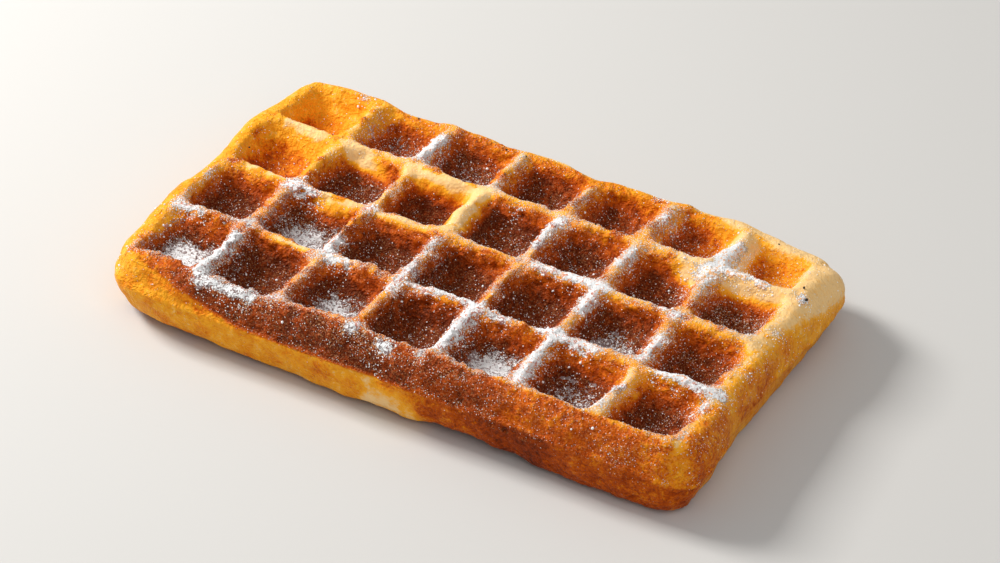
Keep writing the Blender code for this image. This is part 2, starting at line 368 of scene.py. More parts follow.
# Where the batter stayed raw and pale
PALE_PLACES = (
    ((1.22, 2.97), (1.66, 2.78), 0.0029, 1.0),
    ((0.30, 3.02), (0.75, 2.97), 0.0020, 0.6),
    ((0.35, 2.02), (0.90, 2.02), 0.0016, 0.45),
    ((2.05, 2.90), (2.85, 2.95), 0.0032, 0.82),
    ((2.95, 2.90), (2.98, 2.20), 0.0042, 0.95),
    ((5.98, 0.15), (6.08, 0.80), 0.0034, 0.42),
    ((2.20, 2.00), (2.80, 2.00), 0.0018, 0.35),
    ((2.10, 1.00), (2.35, 1.00), 0.0016, 0.5),
    ((1.40, 1.02), (1.85, 1.02), 0.0020, 0.55),
    ((5.72, 2.88), (6.20, 3.15), 0.0050, 0.7),
    ((7.03, 0.90), (7.03, 2.20), 0.0028, 0.5),
    ((1.45, 1.96), (1.70, 1.98), 0.0032, 0.7),
    ((6.97, 0.02), (7.04, 0.10), 0.0012, 0.8),
    ((3.40, -0.16), (3.85, -0.16), 0.0042, 0.62),
    ((7.10, 1.90), (7.12, 4.10), 0.0058, 1.0),
    ((6.40, 4.10), (7.12, 4.10), 0.0062, 1.0),
    ((5.70, 4.06), (6.40, 4.08), 0.0034, 0.7),
    ((5.95, 3.00), (6.90, 3.04), 0.0052, 0.9),
    ((6.00, 3.00), (6.00, 3.70), 0.0042, 0.75),
    ((3.20, 4.05), (5.70, 4.05), 0.0018, 0.4),
)

# Where the side bulges above its lip and below it: (from column, row), (to column, row), reach, how far
UPPER_BULGES = (
    ((7.20, 2.40), (7.20, 4.20), 0.0180, 0.0007),
    ((7.20, 4.20), (6.60, 4.20), 0.0160, 0.0006),
    ((7.20, 0.00), (7.20, 2.40), 0.0140, 0.0006),
    ((-0.20, 0.00), (-0.20, 4.20), 0.0100, 0.0005),
)
LOWER_BULGES = (
    ((-0.20, -0.20), (7.20, -0.20), 0.0100, 0.0006),
    ((-0.20, 0.00), (-0.20, 4.20), 0.0100, 0.0006),
)

# Burnt crumbs: column, row, width
DARK_CRUMBS = (
    (1.50, 3.97, 0.0005),
    (2.75, 3.91, 0.0006),
    (3.05, 3.85, 0.0005),
    (6.35, 3.90, 0.0005),
    (7.00, 3.15, 0.0006),
    (7.10, 3.00, 0.0008),
    (4.42, 3.02, 0.0005),
    (0.10, 2.40, 0.0005),
)


def smooth(low, high, values):
    """0 below the low value, 1 above the high one and a soft step between them."""
    share = np.clip((values - low) / (high - low), 0.0, 1.0)
    return share * share * (3.0 - 2.0 * share)


def noise_at(points, size, start):
    """Noise between about -1 and 1 at each point, with lumps of a size."""
    shifted = points / size + start
    return np.array([noise.noise(Vector(point)) for point in shifted])


def rough_noise_at(points, size, start, octaves):
    """Noise of several sizes, down from the one given, at each point."""
    shifted = points / size + start
    return np.array([noise.fractal(Vector(point), 0.8, 2.1, octaves) for point in shifted])


def shared_noise_at(points, shares):
    """The sum of some noises, each with its share, at each point."""
    return sum(share * noise_at(points, size, start) for share, size, start in shares)


def stray_at(points, size, *starts):
    """Noises side by side, one for each start, that lead points astray."""
    return np.column_stack([noise_at(points, size, start) for start in starts])


def pits_at(points, size, start, width):
    """1 in the middle of pits strewn about a size apart, 0 outside their width."""
    shifted = points / size + start
    nearest = np.array([noise.voronoi(Vector(point))[0][0] for point in shifted])
    return smooth(width / size, 0.0, nearest)


def grid_of(points):
    """Columns from the left end and rows from the front of each point."""
    return points[:, 0] / PITCH_X + COLUMNS / 2, points[:, 1] / PITCH_Y + ROWS / 2


def stray_grid_of(points, lumps):
    """Columns and rows of each point, led a little astray by noise."""
    columns, rows = grid_of(points)
    stray = STRAY * stray_at(points, *lumps)
    return columns + stray[:, 0], rows + stray[:, 1]


def into_grid(columns, rows):
    """How far inside the outer ribs each place is, and below 0 outside them."""
    from_ends = np.minimum(columns, COLUMNS - columns) * PITCH_X
    return np.minimum(from_ends, np.minimum(rows, ROWS - rows) * PITCH_Y)


def within_grid(columns, rows):
    """1 inside the outer ribs, 0 outside them."""
    return smooth(-0.0005, 0.0010, into_grid(columns, rows))


def from_ribs(columns, rows):
    """How far each place is from the nearest rib across the waffle and the nearest one along it."""
    return np.abs(columns - np.round(columns)) * PITCH_X, np.abs(rows - np.round(rows)) * PITCH_Y


def stroke(columns, rows, start, end, reach, edge=0.35):
    """1 along a stroke from one place to another, fading from a share of its reach to 0 at its end."""
    run_x, run_y = (end[0] - start[0]) * PITCH_X, (end[1] - start[1]) * PITCH_Y
    off_x, off_y = (columns - start[0]) * PITCH_X, (rows - start[1]) * PITCH_Y
    squared = run_x * run_x + run_y * run_y
    along = np.clip((off_x * run_x + off_y * run_y) / squared, 0.0, 1.0) if squared > 0.0 else 0.0
    away = np.hypot(off_x - along * run_x, off_y - along * run_y)
    return smooth(reach, reach * edge, away)


def strongest(columns, rows, strokes, widen=1.0, edge=0.35):
    """The strongest of some strokes at each place, each widened by a factor."""
    result = np.zeros(len(columns))
    for start, end, reach, amount in strokes:
        result = np.maximum(result, amount * stroke(columns, rows, start, end, reach * widen, edge))
    return result


def summed(columns, rows, strokes):
    """The sum of some strokes at each place."""
    result = np.zeros(len(columns))
    for start, end, reach, amount in strokes:
        result += amount * stroke(columns, rows, start, end, reach, 0.0)
    return result


def in_pockets(columns, rows, amounts):
    """Each pocket's amount, at the places inside it."""
    column = np.clip(np.floor(columns).astype(int), 0, COLUMNS - 1)
    row = np.clip(np.floor(rows).astype(int), 0, ROWS - 1)
    return np.array(amounts)[row, column]


def length_setting(name, description, default):
    """A setting that is a length."""
    return FloatProperty(name=name, description=description, default=default, unit="LENGTH", precision=5)


def count_setting(name, description, default):
    """A setting that is a whole number."""
    return IntProperty(name=name, description=description, default=default)


def angle_setting(name, description, degrees):
    """A setting that is an angle."""
    return FloatProperty(name=name, description=description, default=math.radians(degrees), subtype="ANGLE")


def colour_setting(name, description, default):
    """A setting that is a colour."""
    return FloatVectorProperty(name=name, description=description, default=default, subtype="COLOR", size=3)


class CrustSettings(bpy.types.PropertyGroup):
    mesh_size: length_setting("Mesh size", "Width of the crust's faces", 0.00087)
    dish: length_setting("Dish", "How far the pockets' floors curve up", 0.0005)
    rounding: count_setting("Rounding", "How often the crust is smoothed", 3)
    side_rounding: count_setting("Side rounding", "How often the side is smoothed", 12)
    corner_rounding: count_setting("Corner rounding", "How often the rounded right end is smoothed", 24)
    corner_puff: length_setting("Corner puff", "How far the rounded right end swells again", 0.0003)
    crest_rise: length_setting("Crest rise", "How far the ribs' crests are raised again", 0.0004)
    crown: length_setting("Crown", "How far the ribs' shoulders fall", 0.0005)
    wander: length_setting("Wander", "How far the ribs stray sideways", 0.0006)
    swell: length_setting("Swell", "Height of the soft waves", 0.0005)
    crags: length_setting("Crags", "Height of the small crags", 0.0005)
    pit_depth: length_setting("Pit depth", "Depth of the burst bubbles", 0.0005)
    lip: length_setting("Lip", "How far the lip round the side stands out", 0.0006)
    raw: colour_setting("Raw", "Batter that stayed pale", (0.92, 0.60, 0.26))
    gold: colour_setting("Gold", "Lightly baked crust", (0.94, 0.41, 0.020))
    amber: colour_setting("Amber", "Well baked crust", (0.81, 0.235, 0.006))
    chestnut: colour_setting("Chestnut", "Deeply baked crust", (0.58, 0.098, 0.002))
    brown: colour_setting("Brown", "Dark crust", (0.36, 0.046, 0.002))
    dark: colour_setting("Dark", "Darkest crust", (0.11, 0.012, 0.002))
    burnt: colour_setting("Burnt", "Burnt crumbs", (0.020, 0.011, 0.007))


class SugarSettings(bpy.types.PropertyGroup):
    colour: colour_setting("Colour", "Icing sugar", (0.92, 0.92, 0.92))
    # Tan specks: partly sugar that took the crust's colour, partly painted glints and warm light thrown
    # back by the crust
    melted_glint: colour_setting("Melted", "Sugar that took the crust's colour", (0.88, 0.46, 0.20))
    drift: length_setting("Drift", "Thickness of the drifts", 0.00026)
    seed: count_setting("Seed", "Where the loose grains fall", 11)


class StageSettings(bpy.types.PropertyGroup):
    floor: colour_setting("Floor", "Colour of the floor", (0.58, 0.57, 0.55))
    azimuth: angle_setting("Azimuth", "Camera round the waffle, from its front", 26.5)
    elevation: angle_setting("Elevation", "Camera above the floor", 36.0)
    roll: angle_setting("Roll", "Camera tipped sideways", 3.0)
    distance: length_setting("Distance", "Camera from what it looks at", 0.7611)
    lens: FloatProperty(name="Lens", description="Focal length in millimetres", default=108.0)


def deselect_all():
    """Leaves nothing selected."""
    if bpy.context.object and bpy.context.object.mode != "OBJECT":
        bpy.ops.object.mode_set(mode="OBJECT")
    bpy.ops.object.select_all(action="DESELECT")


def choose(piece):
    """Makes a piece the only one selected, and the active one."""
    deselect_all()
    piece.select_set(True)
    bpy.context.view_layer.objects.active = piece


def duplicate(piece, name):
    """A copy of a piece with its own mesh, free of any parent."""
    choose(piece)
    bpy.ops.object.duplicate()
    copy = bpy.context.object
    bpy.ops.object.parent_clear(type="CLEAR_KEEP_TRANSFORM")
    for key in list(copy.keys()):
        if key.startswith("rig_"):
            del copy[key]
    copy.name = name
    copy.data.name = name
    return copy


def apply_modifier(piece, kind, **values):
    """Adds a modifier with its values to a piece and applies it."""
    choose(piece)
    bpy.ops.object.modifier_add(type=kind)
    modifier = piece.modifiers[-1]
    for key, value in values.items():
        setattr(modifier, key, value)
    bpy.ops.object.modifier_apply(modifier=modifier.name)


def points_of(piece):
    """The places and normals of a piece's points, as arrays."""
    count = len(piece.data.vertices)
    points = np.empty(count * 3)
    normals = np.empty(count * 3)
    piece.data.vertices.foreach_get("co", points)
    piece.data.vertices.foreach_get("normal", normals)
    return points.reshape(-1, 3), normals.reshape(-1, 3)


def move_points(piece, points):
    """Puts a piece's points at new places."""
    piece.data.vertices.foreach_set("co", points.ravel())
    piece.data.update()


def within_box(points):
    """Points kept inside the solid's box, and eased towards its sides and its top without a crease."""
    low, high = np.array(CAD_BOX[0]), np.array(CAD_BOX[1])
    margin = np.array(BOX_MARGIN)
    over = np.maximum(points - (high - margin), 0.0)
    under = np.maximum((low + margin) - points, 0.0)
    under[:, 2] = 0.0
    eased = points - over + margin * (1 - np.exp(-over / margin))
    eased += under - margin * (1 - np.exp(-under / margin))
    return np.clip(eased, low, high)


def open_whole(piece):
    """Opens a piece in edit mode with all of it selected."""
    choose(piece)
    bpy.ops.object.mode_set(mode="EDIT")
    bpy.ops.mesh.select_all(action="SELECT")


def open_some(piece, kind, chosen):
    """Opens a piece in edit mode with only the chosen vertices or polygons selected."""
    choose(piece)
    bpy.context.tool_settings.mesh_select_mode = (kind == "vertices", False, kind == "polygons")
    bpy.ops.object.mode_set(mode="EDIT")
    bpy.ops.mesh.select_all(action="DESELECT")
    bpy.ops.object.mode_set(mode="OBJECT")
    getattr(piece.data, kind).foreach_set("select", chosen)
    bpy.ops.object.mode_set(mode="EDIT")


def smooth_points(piece, chosen, repeat):
    """Smooths the chosen points of a piece a number of times."""
    open_some(piece, "vertices", chosen)
    bpy.ops.mesh.vertices_smooth(factor=SMOOTHING, repeat=repeat)
    bpy.ops.object.mode_set(mode="OBJECT")


def face_values(piece, values):
    """The highest of a value among the corners of each face."""
    corners = np.empty(len(piece.data.loops), dtype=int)
    starts = np.empty(len(piece.data.polygons), dtype=int)
    piece.data.loops.foreach_get("vertex_index", corners)
    piece.data.polygons.foreach_get("loop_start", starts)
    return np.maximum.reduceat(np.asarray(values)[corners], starts)


def keep_faces(piece, values, level):
    """Deletes the faces of a piece where no corner's value is above a level."""
    open_some(piece, "polygons", face_values(piece, values) <= level)
    bpy.ops.mesh.delete(type="FACE")
    bpy.ops.object.mode_set(mode="OBJECT")


def store(piece, name, values):
    """Keeps a value for each point of a piece under a name that materials and nodes read."""
    attribute = piece.data.attributes.new(name, "FLOAT", "POINT")
    attribute.data.foreach_set("value", np.asarray(values, dtype=np.float32))


def finish_piece(piece, material):
    """Gives a piece its material and ties it to the frame."""
    piece.data.materials.clear()
    piece.data.materials.append(material)
    choose(piece)
    bpy.ops.object.shade_smooth()
    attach(piece, "root")


def add_node(tree, kind, inputs=None, **values):
    """Adds a node, with its settings, and its inputs as numbers or as links from other nodes."""
    node = tree.nodes.new(kind)
    for key, value in values.items():
        setattr(node, key, value)
    for key, value in (inputs or {}).items():
        if isinstance(value, bpy.types.NodeSocket):
            tree.links.new(value, node.inputs[key])
        else:
            node.inputs[key].default_value = value
    return node


def feed(tree, node, sockets):
    """Links sockets to the inputs of a node by their names."""
    for name, socket in sockets.items():
        tree.links.new(socket, node.inputs[name])


def math_node(tree, operation, first, second):
    """The result of an operation on two numbers or sockets."""
    return add_node(tree, "ShaderNodeMath", {0: first, 1: second}, operation=operation).outputs[0]


def plus(tree, first, second):
    """The sum of two numbers or sockets."""
    return math_node(tree, "ADD", first, second)


def minus(tree, first, second):
    """The difference of two numbers or sockets."""
    return math_node(tree, "SUBTRACT", first, second)


def times(tree, first, second):
    """The product of two numbers or sockets."""
    return math_node(tree, "MULTIPLY", first, second)


def map_range(tree, value, low, high, to_low=0.0, to_high=1.0, kind="LINEAR"):
    """A value carried from one range to another, and kept inside it."""
    inputs = {"Value": value, "From Min": low, "From Max": high, "To Min": to_low, "To Max": to_high}
    node = add_node(tree, "ShaderNodeMapRange", inputs, interpolation_type=kind, clamp=True)
    return node.outputs["Result"]


def mix_colours(tree, share, first, second):
    """A blend of two colours."""
    inputs = {0: share, 6: first, 7: second}
    return add_node(tree, "ShaderNodeMix", inputs, data_type="RGBA", clamp_factor=True).outputs[2]


def grain(tree, place, size, detail=2.0, roughness=0.55, distortion=0.0):
    """Noise from 0 to 1 with lumps of a size."""
    inputs = {"Vector": place, "Scale": 1 / size, "Detail": detail}
    inputs.update({"Roughness": roughness, "Distortion": distortion})
    return map_range(tree, add_node(tree, "ShaderNodeTexNoise", inputs).outputs["Fac"], 0.28, 0.72)


def place_node(tree):
    """The place on the piece."""
    return add_node(tree, "ShaderNodeTexCoord").outputs["Object"]


def attribute_node(tree, name):
    """The value that a piece's points hold under a name."""
    return add_node(tree, "ShaderNodeAttribute", attribute_name=name).outputs["Fac"]


def bump_node(tree, height, distance):
    """Bumps that stand out by a distance."""
    inputs = {"Strength": 1.0, "Distance": distance, "Height": height}
    return add_node(tree, "ShaderNodeBump", inputs).outputs["Normal"]


def group_node(tree, name, inputs=None):
    """A node group placed in a material with its inputs."""
    return add_node(tree, "ShaderNodeGroup", inputs, node_tree=bpy.data.node_groups[name])


def opaque(colour):
    """A colour with full alpha."""
    return (*colour, 1.0)


def new_group(name, inputs, outputs):
    """A shader node group with named inputs and outputs, and its two end nodes."""
    tree = bpy.data.node_groups.new(name, "ShaderNodeTree")
    for label, value in inputs:
        socket = tree.interface.new_socket(label, in_out="INPUT", socket_type="NodeSocketFloat")
        socket.default_value = value
    for label, kind in outputs:
        tree.interface.new_socket(label, in_out="OUTPUT", socket_type="NodeSocket" + kind)
    return tree, add_node(tree, "NodeGroupInput"), add_node(tree, "NodeGroupOutput")


def new_material(name, values):
    """A material with its shader's plain values, its nodes and its shader."""
    material = bpy.data.materials.new(name)
    material.use_nodes = True
    shader = material.node_tree.nodes["Principled BSDF"]
    for label, value in values.items():
        shader.inputs[label].default_value = value
    return material, material.node_tree, shader


def crumb_group():
    """Crumbly relief from 0 to 1 at three sizes, shared by the colour and the bumps of the crust."""
    tree, _, result = new_group("crumb", (), [(name, "Float") for name, *_ in CRUMB_SIZES])
    place = place_node(tree)
    for name, size, detail, roughness, distortion, _ in CRUMB_SIZES:
        tree.links.new(grain(tree, place, size, detail, roughness, distortion), result.inputs[name])


def baked_colour_group(crust):
    """Colour of the crust from how brown and how pale it is, darker between its crumbs as painted shade and
    lighter on them as painted light.
    """
    inputs = [("Browning", 0.5), ("Pale", 0.0), *((name, 0.5) for name, *_ in CRUMB_SIZES)]
    tree, given, result = new_group("baked_colour", inputs, (("Color", "Color"), ("Crisp", "Float")))
    browning = given.outputs["Browning"]
    crisp = minus(tree, 1.0, times(tree, given.outputs["Pale"], 0.4))
    crisp = times(tree, crisp, map_range(tree, browning, 0.10, 0.45, 0.42, 1.0))
    for name, *_, share in CRUMB_SIZES:
        blotch_and_shade = times(tree, minus(tree, 0.5, given.outputs[name]), share)
        browning = plus(tree, browning, times(tree, blotch_and_shade, crisp))
    ramp = add_node(tree, "ShaderNodeValToRGB", {"Fac": browning})
    stops = ramp.color_ramp.elements
    stops[0].position, stops[0].color = 0.0, opaque(crust.raw)
    stops[1].position, stops[1].color = 1.0, opaque(crust.dark)
    for position, name in BAKED_COLOURS:
        stops.new(position).color = opaque(getattr(crust, name))
    feed(tree, result, {"Color": ramp.outputs["Color"], "Crisp": crisp})


def powder_group():
    """Where powder covers a surface: patches that break up at their edges, single specks, and tan grains in
    the crust's colour, partly sugar that took on that colour and partly painted glints and warm light
    thrown back by the crust.
    """
    outputs = (("Mask", "Float"), ("Height", "Float"), ("Melted", "Float"))
    tree, given, result = new_group("powder", (("Amount", 0.5), ("Specks", 0.0)), outputs)
    place, specks = place_node(tree), given.outputs["Specks"]
    lumps = times(tree, grain(tree, place, *PATCH_LUMPS), 0.55)
    grains = times(tree, grain(tree, place, *PATCH_GRAINS), 0.45)
    above = minus(tree, given.outputs["Amount"], plus(tree, lumps, grains))
    patches = map_range(tree, above, -0.10, 0.12, kind="SMOOTHSTEP")
    raised = times(tree, specks, 0.44)
    dust = plus(tree, grain(tree, place, *SPECK_GRAINS), raised)
    mask = math_node(tree, "MAXIMUM", patches, map_range(tree, dust, 0.97, 1.02, 0.0, 0.80))
    thin = map_range(tree, specks, 0.004, 0.04, 0.0, 0.19)
    dusted = plus(tree, thin, map_range(tree, specks, 0.15, 0.45, 0.0, 0.36))
    # Tan specks: partly sugar in the crust's colour, partly painted glints
    melted_glint = map_range(tree, plus(tree, grain(tree, place, *MELTED_GLINT_GRAINS), raised), 0.64, 0.84)
    height = times(tree, mask, plus(tree, grains, 0.7))
    feed(tree, result, {"Mask": mask, "Height": height, "Melted": times(tree, melted_glint, dusted)})


def baked_surface(tree, browner=0.0):
    """The crumb relief and the baked colour of the crust, browner by an amount, as two group nodes."""
    crumb = group_node(tree, "crumb")
    inputs = {name: crumb.outputs[name] for name, *_ in CRUMB_SIZES}
    inputs["Browning"] = plus(tree, attribute_node(tree, "browning"), browner)
    inputs["Pale"] = attribute_node(tree, "pale")
    return crumb, group_node(tree, "baked_colour", inputs)


def crust_material(context):
    """Baked batter, from raw cream to dark brown, with icing sugar where its amount says."""
    sugar = context.scene.waffle_sugar
    material, tree, shader = new_material("crust", BUTTERY_SHINE)
    crumb, baked = baked_surface(tree)
    amounts = {"Amount": attribute_node(tree, "sugar"), "Specks": attribute_node(tree, "specks")}
    powder = group_node(tree, "powder", amounts)
    mask = powder.outputs["Mask"]
    # The tan specks are partly sugar in the crust's colour and partly painted glints
    crumbs = mix_colours(tree, powder.outputs["Melted"], baked.outputs["Color"], opaque(sugar.melted_glint))
    gloss = map_range(tree, crumb.outputs["Middle"], 0.0, 1.0, *CRUST_ROUGHNESS)
    rough = add_node(tree, "ShaderNodeMix", {0: mask, 2: gloss, 3: POWDER_ROUGHNESS}, data_type="FLOAT")
    relief = plus(tree, times(tree, crumb.outputs["Fine"], 0.45), crumb.outputs["Middle"])
    height = plus(tree, times(tree, relief, baked.outputs["Crisp"]), powder.outputs["Height"])
    sockets = {
        "Base Color": mix_colours(tree, mask, crumbs, opaque(sugar.colour)),
        "Roughness": rough.outputs[0],
        "Normal": bump_node(tree, height, CRUST_BUMP),
    }
    feed(tree, shader, sockets)
    return material


def drift_material(context):
    """Dry white powder with lumps and single grains, and the crust between them drawn browner as painted
    shade.
    """
    material, tree, shader = new_material("icing_sugar", DRY_POWDER)
    place = place_node(tree)
    # The crust in the gaps is drawn browner, as painted shade.
    _, baked = baked_surface(tree, GAP_SHADE_BROWNING)
    thick = times(tree, attribute_node(tree, "sugar"), 0.55)
    gaps = map_range(tree, plus(tree, grain(tree, place, *DRIFT_GAPS), thick), 0.88, 0.76, 0.0, 0.8)
    white = opaque(context.scene.waffle_sugar.colour)
    clods = times(tree, grain(tree, place, *DRIFT_CLODS), 0.6)
    height = plus(tree, clods, times(tree, grain(tree, place, *DRIFT_GRAINS), 0.5))
    colour = mix_colours(tree, gaps, white, baked.outputs["Color"])
    feed(tree, shader, {"Base Color": colour, "Normal": bump_node(tree, height, DRIFT_BUMP)})
    return material


def depth_at(points):
    """0 on the crests of the ribs and outside the grid, 1 on the floors of the pockets."""
    heights = points[:, 2]
    upper = np.clip((RIB_HEIGHT - heights) / (RIB_HEIGHT - UPPER_FLOOR), 0.0, 1.0) * (heights > LIP_HEIGHT)
    lower = np.clip(heights / LOWER_FLOOR, 0.0, 1.0) * (heights <= LIP_HEIGHT)
    return (upper + lower) * within_grid(*grid_of(points))


def seam_height(points):
    """Height of the seam round the side, where the two plates met: higher along the front."""
    columns, rows = grid_of(points)
    rise = SEAM_RISE + SEAM_RISE_MIDDLE * smooth(2.0, 3.6, columns)
    return LIP_HEIGHT + rise * smooth(7.2, 6.4, columns) * smooth(4.0, 3.0, rows)


def pale_at(points):
    """How far each point stayed raw and pale."""
    columns, rows = grid_of(points)
    heights = points[:, 2]
    inside = within_grid(columns, rows)
    high = inside * smooth(UPPER_FLOOR + 0.0010, UPPER_FLOOR + 0.0040, heights)
    foot = PALE_FOOT - PALE_FOOT_DROP * smooth(2.4, 3.7, rows)
    high = np.maximum(high, smooth(0.0, 0.0058, heights - foot))
    below_seam = smooth(0.0005, -0.0030, heights - seam_height(points))
    high = np.maximum(high, smooth(0.1, -0.1, rows) * below_seam)
    patchy = 1.0 + PALE_PATCHES * rough_noise_at(points, *PALE_LUMPS) * (1 - CALM_INSIDE * inside)
    strokes = strongest(*stray_grid_of(points, PALE_STRAY_LUMPS), PALE_PLACES, 1.4, 0.1)
    return np.clip(strokes * high * patchy, 0.0, 1.0)


def wander_at(points, crust):
    """How far each point strays sideways, so that the ribs aren't straight: nowhere on the outer side."""
    loose = smooth(-0.0025, 0.0010, into_grid(*grid_of(points)))
    sideways = stray_at(points, *WANDER_LUMPS) + FINE_WANDER * stray_at(points, *FINE_WANDER_LUMPS)
    moved = np.zeros_like(points)
    moved[:, :2] = crust.wander * sideways * loose[:, None]
    return moved


def crest_at(points, crust):
    """1 along the middle of the ribs' crests, 0 from their shoulders down."""
    away = np.minimum(*from_ribs(*grid_of(points - wander_at(points, crust))))
    narrow = smooth(0.0018, 0.0003, away)
    return narrow * smooth(0.30, 0.05, depth_at(points)) * within_grid(*grid_of(points))


def painted_light_and_shade_at(columns, rows):
    """How much browner the left of each pocket is drawn, as painted shade, and lighter the right of its far
    wall, as painted light.
    """
    along, across = columns - np.floor(columns), rows - np.floor(rows)
    far_right = smooth(0.40, 0.85, along) * smooth(0.45, 0.80, across)
    return POCKET_LEFT_PAINTED_SHADE * smooth(0.55, 0.15, along) - FAR_WALL_PAINTED_LIGHT * far_right


def browning_edge(points):
    """Height above which the upper half's browning lies: the seam's, and more at the left end."""
    return seam_height(points) + LEFT_EDGE_RISE * smooth(1.8, 0.1, grid_of(points)[0])


def upper_half(points):
    """1 above that height and in the upper pockets, 0 below it, with a softer step at the left end."""
    columns, rows = grid_of(points)
    soft = EDGE_SOFTNESS + LEFT_EDGE_SOFTNESS * smooth(2.0, 1.0, columns)
    upper = smooth(-soft, soft + 0.0002, points[:, 2] - browning_edge(points))
    return np.maximum(upper, within_grid(columns, rows) * (points[:, 2] > LIP_HEIGHT))


def pockets_browning_and_shade_at(points):
    """How brown the ribs and pockets are drawn: more down the walls and on the floors, partly browner crust
    and partly painted shade, with painted shade on the left of each pocket and painted light on the right
    of its far wall, and differently in each pocket.
    """
    columns, rows = grid_of(points)
    inside, depth = within_grid(columns, rows), depth_at(points)
    baked = CREST_BROWNING + SHOULDER_BROWNING_AND_SHADE * smooth(0.0, 0.22, depth)
    baked += FLOOR_BROWNING_AND_SHADE * smooth(0.2, 1.0, depth)
    baked += smooth(0.0, 0.4, depth) * inside * in_pockets(columns, rows, POCKET_BROWNING)
    return baked + smooth(0.1, 0.7, depth) * inside * painted_light_and_shade_at(columns, rows)


def blotches_at(points, upper, inside):
    """How much browner or lighter each point is by chance."""
    columns, rows = grid_of(points)
    lower_left = LOWER_LEFT_BLOTCHES * (1 - upper) * smooth(4.4, 3.6, columns)
    upper_right = UPPER_RIGHT_BLOTCHES * smooth(4.0, 5.0, columns) * (1 - inside)
    uneven = BLOTCHES + smooth(0.5, 0.0, rows) * (lower_left - upper_right)
    return uneven * rough_noise_at(points, *BROWNING_LUMPS)


def browning_at(points, pale, crust):
    """How brown each point of the crust baked, from 0, raw, to 1, dark."""
    columns, rows = grid_of(points)
    inside, upper = within_grid(columns, rows), upper_half(points)
    baked = pockets_browning_and_shade_at(points)
    baked += summed(columns, rows, UPPER_BROWNING) * upper
    baked += summed(columns, rows, FRONT_BROWNING) * upper * (1 - inside)
    baked += summed(columns, rows, LOWER_BROWNING) * (1 - upper)
    baked += blotches_at(points, upper, inside)
    # A paler band along the front seam, as a painted highlight on its ridge
    seam = smooth(0.0011, 0.0, np.abs(points[:, 2] - browning_edge(points))) * (1 - inside)
    baked -= SEAM_PAINTED_HIGHLIGHT * seam * smooth(4.6, 3.0, columns) * smooth(0.5, 0.0, rows)
    crest = crest_at(points, crust)
    toasted = smooth(0.10, 0.45, noise_at(points, *TOASTED_LUMPS))
    baked = np.maximum(baked + TOASTED_BROWNING * crest * toasted, LEAST_BROWNING)
    baked -= CREST_LIGHT * crest * (1 - toasted) * smooth(0.6, 1.4, columns)
    return np.clip(baked - (PALE_LIGHT + PALE_LIGHT_INSIDE * inside) * pale, 0.0, 1.0)


def sugar_at(points, normals):
    """How much icing sugar lies on each point: on the ribs, on the floors and up some walls."""
    columns, rows = grid_of(points)
    heights, up = points[:, 2], normals[:, 2]
    inside = within_grid(columns, rows)
    on_ribs = smooth(RIB_HEIGHT - 0.0042, RIB_HEIGHT - 0.0014, heights) * smooth(0.25, 0.75, up)
    ribs = strongest(*stray_grid_of(points, SUGAR_STRAY_LUMPS), RIB_SUGAR, 1.7, 0.0) * on_ribs
    low = smooth(UPPER_FLOOR + 0.0035, UPPER_FLOOR, heights) * smooth(0.25, 0.75, up)
    heap_x, heap_y = columns - np.floor(columns) - HEAP_PLACE[0], rows - np.floor(rows) - HEAP_PLACE[1]
    heap = smooth(0.36, 0.12, np.hypot(heap_x, heap_y))
    thick = in_pockets(columns, rows, FLOOR_SUGAR)
    floors = thick * (FLOOR_SHARE + HEAP_SHARE * heap * smooth(0.5, 0.9, thick)) * low * inside
    left = smooth(0.0, 0.6, normals[:, 0]) * smooth(0.85, 0.5, up)
    walls = in_pockets(columns, rows, WALL_SUGAR) * left * inside * smooth(-0.2, 0.1, up)
    return np.clip(np.maximum(np.maximum(ribs, floors), walls * WALL_SHARE), 0.0, 1.0)


def drift_at(points, normals):
    """Above 0 where the icing sugar lies thick enough for a drift, with ragged edges and holes."""
    level = sugar_at(points, normals) - DRIFT_LEVEL
    return level + shared_noise_at(points, DRIFT_EDGES) + shared_noise_at(points, DRIFT_HOLES)


def dusting_at(points, normals, sugar, browning, pale):
    """How thickly fine specks of icing sugar lie on each point: hardly any on the far walls."""
    columns, rows = grid_of(points)
    up = normals[:, 2]
    inside = within_grid(columns, rows)
    upper = smooth(LIP_HEIGHT - 0.0010, LIP_HEIGHT + 0.0004, points[:, 2])
    facing_up = smooth(-0.1, 0.5, up) * (1 - 0.7 * smooth(0.2, 0.8, -normals[:, 1]) * inside)
    shoulders = smooth(0.34, 0.04, depth_at(points)) * smooth(0.30, 0.85, up) * inside
    base = DUST + SHOULDER_DUST * shoulders + SIDE_DUST * smooth(0.40, 0.70, browning) * (1 - inside)
    right = RIGHT_DUST * smooth(1.0, 0.0, np.abs(columns - 6.8))
    base += right + WALL_DUST * in_pockets(columns, rows, WALL_SUGAR) * inside
    patchy = 1.0 + DUST_PATCHES * rough_noise_at(points, *DUST_LUMPS)
    quiet = 1 - 0.9 * smooth(1.6, 0.8, columns) * smooth(1.7, 2.2, rows)
    quiet *= (1 - 0.85 * smooth(0.2, 0.6, pale)) * (1 - 0.7 * smooth(3.8, 4.0, rows))
    halo = HALO_DUST * strongest(columns, rows, RIB_SUGAR, 2.2, 0.2) * smooth(0.2, 0.8, up)
    return np.clip((base * patchy * quiet + SUGAR_DUST * sugar + halo) * upper * facing_up, 0.0, 1.0)


def grains_at(points, normals, sugar):
    """How thickly coarse grains of icing sugar lie on each point: mostly round the drifts."""
    upper = smooth(LIP_HEIGHT, LIP_HEIGHT + 0.0010, points[:, 2]) * smooth(0.1, 0.6, normals[:, 2])
    near = strongest(*grid_of(points), RIB_SUGAR, 2.4, 0.1)
    return np.clip((GRAINS + NEAR_GRAINS * near + SUGAR_GRAINS * sugar) * upper, 0.0, 1.0)


